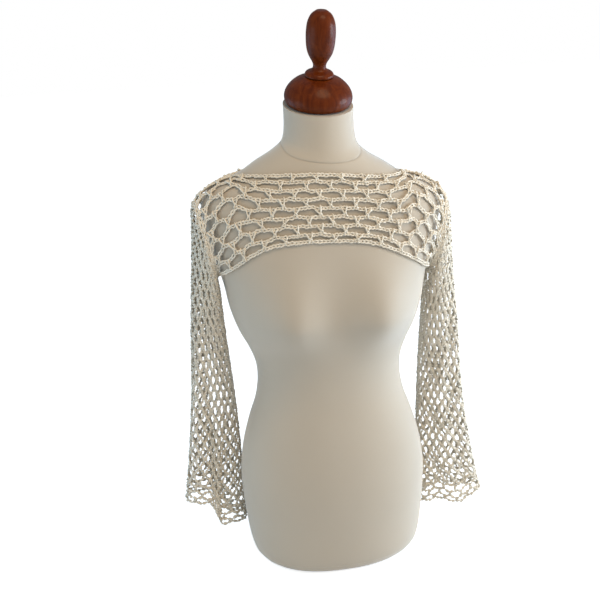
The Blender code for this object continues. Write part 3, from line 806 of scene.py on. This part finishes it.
sleeveNet = {
    "rowsRound": 32,
    "meshTop": 0.036,         # length of one mesh at the shoulder
    "meshCuff": 0.026,        # and at the cuff
    "stitchesPerMesh": 5,
    "wave": 0.32,             # how far a chain swings to either side, in rows
    "snap": 2.4,              # how suddenly it swings
    "wander": {-1: 0.05, 1: 0.06},    # how far a row strays to either side, in rows
    "postReach": {-1: 0.17, 1: -0.19},    # half a drawn-out post's length and way, in meshes
    "postFull": 1.16,
    "pull": {-1: 0.0, 1: 0.24},   # how much fuller the strands lie that slant outwards
    "fullTop": 1.05,          # how full the cords are at the shoulder, where they crowd
    "fullCuff": 0.95,         # and at the cuff
    "full": {-1: 1.01, 1: 1.00},
    "drift": {-1: 0.03, 1: 0.16},     # how far rows wind round their sleeve, in turns
    "driftFrom": 8.5,         # u over which they do
    "driftTo": 25.0,
    "seamGap": 0.02,          # where the sleeve begins, past the yoke, in u
    "armholeGap": 0.05,       # and where its first round lies
    "armholeStitches": 46,
    "frontTo": 0.5001,        # v at which the front half ends
    "shortest": 0.3,          # shortest stitch, in whole ones
    "postEnd": 0.15,          # how far above the cuff's rounds the last posts end, in u
    "cuffRounds": (20.02, 20.36, 20.69, 20.93),
    "cuffCells": 14,
    "cuffWave": 0.075,
    "edgeWave": 0.03,         # less at the edge
    "cuffStitches": 39,
    "cuffStrand": (1.05, 1.4),    # breadth and thickness of the rounds' stitches
    "cuffPost": (0.004, 1.1, 1.3),    # and of their posts, after how much longer they are
}


def workSleeve(name, node, hand, tools):
    cloth = sleeveCloth(hand)
    around, us = sleeveNet["rowsRound"], cloth.us
    rounds = cloth.points[:, :-1]
    start, finish = rounds[0].mean(axis=0), rounds[-1].mean(axis=0)
    axis = (finish - start) / np.linalg.norm(finish - start)
    lowest = min(float((point - start) @ axis) for point in rounds[0])
    total = max(float((point - start) @ axis) for point in rounds[-1]) - lowest
    firstU, lastU = us[0] + sleeveNet["armholeGap"], sleeveNet["cuffRounds"][0]
    halves = [Crochet(name + "_front_half", yarn["seed"] + 5 * hand),
              Crochet(name + "_back_half", yarn["seed"] + 5 * hand + 1)]

    def half(first, second):
        # the half in which the middle of a stitch between two places lies
        return halves[0 if (first[1] + second[1]) / 2.0 % 1.0 <= sleeveNet["frontTo"] else 1]

    def rowV(j, u):
        wound = sleeveNet["drift"][hand] * smoothStep(sleeveNet["driftFrom"], sleeveNet["driftTo"], u)
        return j / around - wound

    def phases(j):
        # how many meshes down the sleeve each u of one row lies
        down = np.array([(cloth.at(u, rowV(j, u) % 1.0) - start) @ axis for u in us]) - lowest
        first, last = 1.0 / sleeveNet["meshTop"], 1.0 / sleeveNet["meshCuff"]
        return down * first + (last - first) * down**2 / (2.0 * total)

    lines = [phases(j) for j in range(around)]

    def swing(j, phase):
        drawn = sleeveNet["snap"] * math.cos(2.0 * math.pi * (phase - (j % 2) / 2.0))
        astray = sleeveNet["wander"][hand] * math.sin(1.9 * phase + 2.4 * (j % around))
        return (sleeveNet["wave"] * math.tanh(drawn) / math.tanh(sleeveNet["snap"]) + astray) / around

    def rowPlaceAt(j, phase):
        u = float(np.interp(phase, lines[j % around], us))
        return u, rowV(j, u) + swing(j, phase)

    def ends(first, second):
        places = [(u, v % 1.0) for u, v in (first, second)]
        return [cloth.at(*place) for place in places], [cloth.outAt(*place) for place in places]

    def strand(first, second, wide=1.0, thick=1.0, turn=1):
        half(first, second).chain(*ends(first, second), wide, thick, turn)

    def bind(first, second, reach, wide, thick):
        (upper, lower), (outA, outB) = ends(first, second)
        half(first, second).post(upper, lower, outA + outB, reach, wide, thick)

    per = sleeveNet["stitchesPerMesh"]
    for j in range(around):
        low, high = np.interp([firstU, lastU], us, lines[j])
        steps = np.arange(math.ceil(low * per), math.floor(high * per) + 1) / per
        steps = np.concatenate([[low], steps, [high]]) if len(steps) else np.array([low, high])
        steps = [p for i, p in enumerate(steps) if i == 0 or p - steps[i - 1] > sleeveNet["shortest"] / per]
        found = [rowPlaceAt(j, p) for p in steps]
        swung = [swing(j, p) for p in steps]
        for i in range(len(steps) - 1):
            share = (found[i][0] - us[0]) / (us[-1] - us[0])
            slant = max(-1.0, min(1.0, 4.0 * around * (swung[i] - swung[i + 1])))
            full = mix(sleeveNet["fullTop"], sleeveNet["fullCuff"], share)
            full *= sleeveNet["full"][hand] * (1.0 + sleeveNet["pull"][hand] * slant)
            strand(found[i], found[i + 1], full, full, 1 if j % 2 else -1)
        for p in np.arange(math.ceil(low), math.floor(high) + 1) + (j % 2) / 2.0:
            reach = sleeveNet["postReach"][hand]
            first, second = rowPlaceAt(j, p - reach), rowPlaceAt(j + 1, p + reach)
            if min(first[0], second[0]) >= firstU and max(first[0], second[0]) <= lastU - sleeveNet["postEnd"]:
                bind(first, second, 0.0, sleeveNet["postFull"], sleeveNet["postFull"])

    # the cuff's rounds of wider meshes, then the armhole's one
    cells, rims = sleeveNet["cuffCells"], sleeveNet["cuffRounds"]

    def roundAt(r, v):
        wave = sleeveNet["cuffWave"] * math.cos(2.0 * math.pi * (cells * v - (r % 2) / 2.0))
        if r == len(rims) - 1:
            wave = min(wave, sleeveNet["edgeWave"])
        return min(rims[r] + wave, us[-1]), v

    for r in range(len(rims)):
        count = sleeveNet["cuffStitches"]
        for k in range(count):
            strand(roundAt(r, k / count), roundAt(r, (k + 1) / count), *sleeveNet["cuffStrand"])
        for i in range(cells if r < len(rims) - 1 else 0):
            v = (i + (r % 2) / 2.0) / cells
            bind(roundAt(r, v), roundAt(r + 1, v), *sleeveNet["cuffPost"])
    count = sleeveNet["armholeStitches"]
    for k in range(count):
        strand((firstU, k / count), (firstU, (k + 1) / count))

    made = [part.work(*tools) for part in halves]
    for part in made:
        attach(part, "root")
        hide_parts(node)
    return made, cloth.area()


def yarnMaterial():
    made, desk = startMaterial("creamCottonYarn")
    place = desk.add("ShaderNodeTexCoord", {}, {}, "Object")
    uv = desk.add("ShaderNodeUVMap", {"uv_map": "yarn"})
    parts = desk.add("ShaderNodeSeparateXYZ", {}, {"Vector": uv}, "X")
    around = Wire(desk, parts.socket.node.outputs["Y"])
    # three plies twisted together: uv x is in centimetres along the yarn; painted shade makes its underside
    # darker and its crest lighter
    ply = (parts * 26.0 + around * (2.0 * math.pi * 3.0)).sine() * 0.5 + 0.5
    # painted shade: the yarn is lighter along its top and darker on its underside, where shade falls
    paintedCrestShade = (around * (2.0 * math.pi)).sine() * 0.5 + 0.5
    blotch = noise(desk, place, 60.0, 3.0)
    fibre = noise(desk, place, 1500.0, 2.0)
    shade = (ply * 0.25 + fibre * 0.30 + blotch * 0.20 + paintedCrestShade * 0.35).clamped()
    colour = mixColour(desk, shade, (0.48, 0.39, 0.27), (0.98, 0.91, 0.79))
    height = ply * 0.6 + fibre * 0.5
    bump = desk.add("ShaderNodeBump", {}, {"Height": height, "Strength": 0.35, "Distance": 0.0004})
    endMaterial(desk, {"Base Color": colour, "Roughness": 0.78, "Normal": bump,
                       "Sheen Weight": 0.15, "Sheen Roughness": 0.5})
    return made


# The form's jersey cover and its turned wooden top

def jerseyMaterial():
    made, desk = startMaterial("creamJersey")
    place = desk.add("ShaderNodeTexCoord", {}, {}, "Object")
    cloudy = noise(desk, place, 7.0, 3.0)
    flecks = noise(desk, place, 900.0, 2.0)
    parts = desk.add("ShaderNodeSeparateXYZ", {}, {"Vector": place}, "X")
    height = Wire(desk, parts.socket.node.outputs["Z"])
    ribs = (parts * 4200.0).sine() * 0.5 + (height * 3400.0).sine() * 0.3 + 0.5
    shade = (cloudy * 0.7 + flecks * 0.3).clamped()
    colour = mixColour(desk, shade, (0.49, 0.42, 0.335), (0.55, 0.48, 0.39))
    seam = desk.add("ShaderNodeAttribute", {"attribute_name": "seam"}, {}, "Fac")
    colour = mixColour(desk, (seam * 0.32).clamped(), colour, (0.22, 0.18, 0.14))
    bump = desk.add("ShaderNodeBump", {}, {"Height": ribs * 0.5 + flecks * 0.5, "Strength": 0.18,
                                           "Distance": 0.0004})
    endMaterial(desk, {"Base Color": colour, "Roughness": 0.82, "Normal": bump,
                       "Sheen Weight": 0.90, "Sheen Roughness": 0.35})
    return made


def woodMaterial():
    made, desk = startMaterial("redBrownWood")
    place = desk.add("ShaderNodeTexCoord", {}, {}, "Object")
    drawn = desk.add("ShaderNodeMapping", {}, {"Vector": place, "Scale": (60.0, 60.0, 7.0)})
    grain = noise(desk, drawn, 2.2, 5.0, Distortion=0.8)
    pores = noise(desk, drawn, 14.0, 2.0)
    stops = [(0.30, (0.062, 0.009, 0.001)), (0.52, (0.112, 0.019, 0.002)), (0.75, (0.158, 0.034, 0.005))]
    colour = desk.add("ShaderNodeValToRGB", {"stops": stops}, {"Fac": grain * 0.75 + pores * 0.25}, "Color")
    bump = desk.add("ShaderNodeBump", {}, {"Height": pores, "Strength": 0.05, "Distance": 0.0003})
    endMaterial(desk, {"Base Color": colour, "Roughness": 0.45, "Normal": bump,
                       "Specular IOR Level": 0.08, "Coat Weight": 0.11, "Coat Roughness": 0.16})
    return made


def meshObject(name, points, faces, material, place=None):
    mesh = bpy.data.meshes.new(name)
    mesh.from_pydata([tuple(p) for p in points], [], faces)
    if place is not None:
        mesh.transform(place)
    shape = bmesh.new()
    shape.from_mesh(mesh)
    bmesh.ops.recalc_face_normals(shape, faces=shape.faces)
    shape.to_mesh(mesh)
    shape.free()
    mesh.shade_smooth()
    mesh.set_sharp_from_angle(angle=math.radians(38))
    mesh.materials.append(material)
    return newObject(name, mesh)


def loft(rings):
    count = len(rings[0])
    points = [p for ring in rings for p in ring]
    faces = []
    for r in range(len(rings) - 1):
        for i in range(count):
            a, b = r * count + i, r * count + (i + 1) % count
            faces.append((a, b, b + count, a + count))
    faces.append(tuple(range(count))[::-1])
    faces.append(tuple((len(rings) - 1) * count + i for i in range(count)))
    return points, faces


def seamLevel(sine):
    fall = form["seamSide"] - form["seamFront"]
    drop = fall * max(0.0, -sine) ** form["seamCurve"]
    return form["seamSide"] - drop + form["seamBack"] * max(0.0, sine)


def wrinkle(x, z, places):
    # shallow creases: middle x and z, length, breadth, slope, bend, depth
    total = 0.0
    for midX, midZ, long, broad, slope, bend, deep in places:
        along = (x - midX) / long
        over = (z - midZ - slope * (x - midX) - bend * along * along) / broad
        total += deep * math.exp(-along * along * 2.0) * math.exp(-over * over)
    return total


creases = [
    (0.068, 0.114, 0.012, 0.0022, 0.05, 0.004, 0.0009),
    (-0.105, 0.352, 0.020, 0.0030, -0.25, 0.002, 0.0008),
    (-0.108, 0.340, 0.022, 0.0028, -0.18, 0.001, 0.0009),
    (-0.104, 0.327, 0.018, 0.0030, -0.10, -0.001, 0.0006),
    (0.100, 0.338, 0.018, 0.0035, 0.20, 0.002, 0.0005),
]


def formRing(level):
    ring, stitched = [], []
    for i in range(form["pointsRound"]):
        angle = 2.0 * math.pi * i / form["pointsRound"]
        cosine, sine = math.cos(angle), math.sin(angle)
        # rings near the neck seam follow its slant
        near = smoothStep(form["slantFrom"], form["seamFront"], level)
        near *= 1.0 - smoothStep(*form["slantTo"], level)
        here = level + near * (seamLevel(sine) - form["seamSide"])
        wide, power = formSize("wide", here), formSize("power", here)
        x = wide * math.copysign(abs(cosine) ** (2.0 / power), cosine)
        side = -1 if sine < 0 else 1
        profile = abs(sine) ** (2.0 / power)
        depth = formSize("front" if side < 0 else "back", here) * profile
        if side < 0:
            depth += bustAt(x, here) * min(1.0, form["bustFade"] * profile)
        y = side * depth
        at = Vector((x, y, here + tipAt(x, here) + nodAt(y, level)))
        # the neck seam draws the cover in, and it stands out above its folded hem
        seam = math.exp(-(((level - form["seamSide"]) / form["seamBroad"]) ** 2))
        hem = 1.0 - smoothStep(-0.0005, 0.0005, level - form["hemHeight"])
        fabric = -form["seamDeep"] * seam - form["hemStep"] * hem
        if side < 0:
            fabric -= wrinkle(x, at.z, creases)
        ring.append(at + Vector((x, y, 0.0)).normalized() * fabric)
        stitched.append(seam)
    return ring, stitched


def makeForm(jersey):
    levels = [row[0] for row in form["sections"]]
    heights = []
    for a, b in zip(levels, levels[1:]):
        parts = max(1, round((b - a) / form["ringSpacing"]))
        heights += [mix(a, b, i / parts) for i in range(parts)]
    heights.append(levels[-1])
    for edge in (form["seamSide"], form["hemHeight"]):
        heights = [h for h in heights if abs(h - edge) > form["edgeClear"]]
        heights += [edge + way * step for way in (-1, 1) for step in form["edgeSteps"]]
    heights.sort()
    rings, stitched = zip(*[formRing(z) for z in heights])
    points, faces = loft(rings)
    made = meshObject("jersey_form", points, faces, jersey, Matrix.Translation(form["axis"]))
    seam = made.data.attributes.new("seam", "FLOAT", "POINT").data
    seam.foreach_set("value", np.concatenate(stitched).astype(np.float32))
    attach(made, "root")
    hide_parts("form_torso")


turned = {
    "gap": 0.0003,
    "pointsRound": 96,
    "stepsBetween": 6,
    "cap": [(0.0430, 0.0000), (0.0475, 0.0020), (0.0506, 0.0065), (0.0516, 0.0120),
            (0.0510, 0.0170), (0.0492, 0.0220), (0.0458, 0.0275), (0.0406, 0.0330),
            (0.0330, 0.0385), (0.0205, 0.0430)],
    "finial": [(0.0200, 0.0433), (0.0214, 0.0443), (0.0217, 0.0458), (0.0211, 0.0480),
               (0.0194, 0.0500), (0.0164, 0.0516), (0.0124, 0.0532), (0.0102, 0.0562),
               (0.0097, 0.0600), (0.0112, 0.0650), (0.0148, 0.0712), (0.0184, 0.0785),
               (0.0207, 0.0875), (0.0218, 0.0990), (0.0219, 0.1110), (0.0203, 0.1240),
               (0.0156, 0.1345), (0.0085, 0.1405)],
}


def smoothProfile(points, steps):
    # a smooth curve through a turned profile's points
    made = []
    last = len(points) - 1
    for i in range(last):
        p0, p1 = Vector(points[max(0, i - 1)]), Vector(points[i])
        p2, p3 = Vector(points[i + 1]), Vector(points[min(last, i + 2)])
        for k in range(steps):
            t = k / steps
            made.append(0.5 * (2 * p1 + (p2 - p0) * t + (2 * p0 - 5 * p1 + 4 * p2 - p3) * t**2
                               + (3 * p1 - p0 - 3 * p2 + p3) * t**3))
    made.append(Vector(points[-1]))
    return made


def makeTurned(name, profile, node, wood):
    rings = [[(x, y, height) for x, y in roundOutline(radius, turned["pointsRound"])]
             for radius, height in smoothProfile(profile, turned["stepsBetween"])]
    top = form["axis"] + Vector((0.0, 0.0, form["neckTop"] + turned["gap"]))
    square = Vector((math.tan(form["neckLean"]), -math.tan(form["neckNod"]), 1.0))
    turn = Vector((0.0, 0.0, 1.0)).rotation_difference(square)
    place = Matrix.Translation(top) @ turn.to_matrix().to_4x4()
    made = meshObject(name, *loft(rings), wood, place)
    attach(made, "root")
    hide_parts(node)


# Floor, light and camera

studio = {
    "floorSize": 12.0,
    "floorColour": (0.90, 0.90, 0.90),
    "floorGlow": 0.74,        # the floor looks lit through, as a light table does
    "backdrop": 1.0,          # how bright the sky looks behind the object
    "sky": (0.78, 0.91, 1.0),
    "skyStrength": 0.44,      # and how strongly it lights it
    "aim": (0.0, 0.0, 0.42),
    # place, size, colour and power of each soft lamp
    "lamps": {
        "overhead": ((0.30, -1.10, 2.2), 1.2, (1.0, 0.76, 0.49), 21.0),
        "rightSide": ((1.75, -0.30, 0.60), 0.9, (0.76, 0.88, 1.0), 28.0),
        "rightRim": ((1.50, 0.60, 0.35), 1.0, (0.40, 0.66, 1.0), 9.0),
        "leftFill": ((-1.7, -0.4, 0.30), 1.2, (0.70, 0.87, 1.0), 7.0),
        "leftRim": ((-1.40, 0.70, 0.30), 1.0, (0.40, 0.68, 1.0), 5.0),
    },
}

photoCamera = {
    "turn": math.radians(-10.0),      # round the form from straight in front
    "distance": 1.6,
    "height": 1.005,
    "pitch": math.radians(19.9),
    "roll": math.radians(-2.28),
    "focalPixels": 1056.0,
    "framePixels": 600.0,
    "shiftPixels": (26.2, 11.3),
}


def makeStage():
    made, desk = startMaterial("paleFloor")
    seen = desk.add("ShaderNodeLightPath", {}, {}, "Is Camera Ray")
    glow = mixColour(desk, seen, (0.0, 0.0, 0.0), (1.0, 1.0, 1.0))
    endMaterial(desk, {"Base Color": studio["floorColour"], "Roughness": 0.95, "Specular IOR Level": 0.0,
                       "Emission Color": glow, "Emission Strength": studio["floorGlow"]})
    half = studio["floorSize"] / 2.0
    corners = [(-half, -half, 0.0), (half, -half, 0.0), (half, half, 0.0), (-half, half, 0.0)]
    mesh = bpy.data.meshes.new("floor")
    mesh.from_pydata(corners, [], [(0, 1, 2, 3)])
    mesh.materials.append(made)
    floor = newObject("floor", mesh)
    floor.location.z = -0.0005
    world = bpy.data.worlds.new("studioSky")
    world.use_nodes = True
    world.node_tree.nodes.clear()
    desk = Desk(world.node_tree)
    seen = desk.add("ShaderNodeLightPath", {}, {}, "Is Camera Ray")
    strength = seen * (studio["backdrop"] - studio["skyStrength"]) + studio["skyStrength"]
    colour = mixColour(desk, seen, studio["sky"], (1.0, 1.0, 1.0))
    sky = desk.add("ShaderNodeBackground", {}, {"Color": colour, "Strength": strength})
    desk.add("ShaderNodeOutputWorld", {}, {"Surface": sky})
    bpy.context.scene.world = world
    bpy.context.scene.view_settings.view_transform = "Standard"
    for name, (place, size, colour, power) in studio["lamps"].items():
        lamp = bpy.data.lights.new(name, "AREA")
        lamp.shape = "DISK"
        lamp.size = size
        lamp.color = colour
        lamp.energy = power
        holder = newObject(name, lamp)
        holder.location = place
        towards = Vector(studio["aim"]) - holder.location
        holder.rotation_euler = towards.to_track_quat("-Z", "Y").to_euler()


def makeCamera():
    turn, pitch = photoCamera["turn"], photoCamera["pitch"]
    forward = Vector((-math.sin(turn) * math.cos(pitch), math.cos(turn) * math.cos(pitch),
                      -math.sin(pitch)))
    right = Vector((math.cos(turn), math.sin(turn), 0.0))
    up = right.cross(forward)
    facing = Matrix((right, up, -forward)).transposed() @ Matrix.Rotation(photoCamera["roll"], 3, "Z")
    place = form["axis"] + Vector((photoCamera["distance"] * math.sin(turn),
                                   -photoCamera["distance"] * math.cos(turn), photoCamera["height"]))
    lens = bpy.data.cameras.new("photoCamera")
    lens.sensor_width = 36.0
    lens.lens = lens.sensor_width * photoCamera["focalPixels"] / photoCamera["framePixels"]
    lens.shift_x = -photoCamera["shiftPixels"][0] / photoCamera["framePixels"]
    lens.shift_y = photoCamera["shiftPixels"][1] / photoCamera["framePixels"]
    lens.clip_end = 50.0
    holder = newObject("photoCamera", lens)
    holder.matrix_world = Matrix.Translation(place) @ facing.to_4x4()
    bpy.context.scene.camera = holder


# Everything is made

makeCamera()
makeStage()
makeForm(jerseyMaterial())
print("form made")
wood = woodMaterial()
makeTurned("turned_cap", turned["cap"], "neck_cap", wood)
makeTurned("turned_finial", turned["finial"], "neck_finial", wood)
print("wood turned")

stitchKinds = {"chain": chainStitch(), "cord": cordStitch(), "post": postStitch()}
tree, cotton = stitchTree(), yarnMaterial()
tools = (tree, (stitchKinds["chain"], stitchKinds["post"]), cotton)
frontPiece, frontArea = workYoke("crocheted_front", "shrug_front", -1, tools)
backPiece, backArea = workYoke("crocheted_back", "shrug_back", 1, tools)
print("yoke worked; area of front and back:", round(frontArea, 4), round(backArea, 4))
# where two drawn-out rows meet, one more full stitch binds them
tools = (tree, (stitchKinds["cord"], stitchKinds["cord"]), cotton)
rightSleeve, rightArea = workSleeve("crocheted_right", "sleeve_right", -1, tools)
leftSleeve, leftArea = workSleeve("crocheted_left", "sleeve_left", 1, tools)
print("sleeves worked; areas:", round(rightArea, 4), round(leftArea, 4))
for stitch in stitchKinds.values():
    bpy.data.objects.remove(stitch)

# Half of each sleeve's cloth area, for each of its two halves
for sleeve, area in ((rightSleeve, rightArea), (leftSleeve, leftArea)):
    for part in sleeve:
        area / 2.0
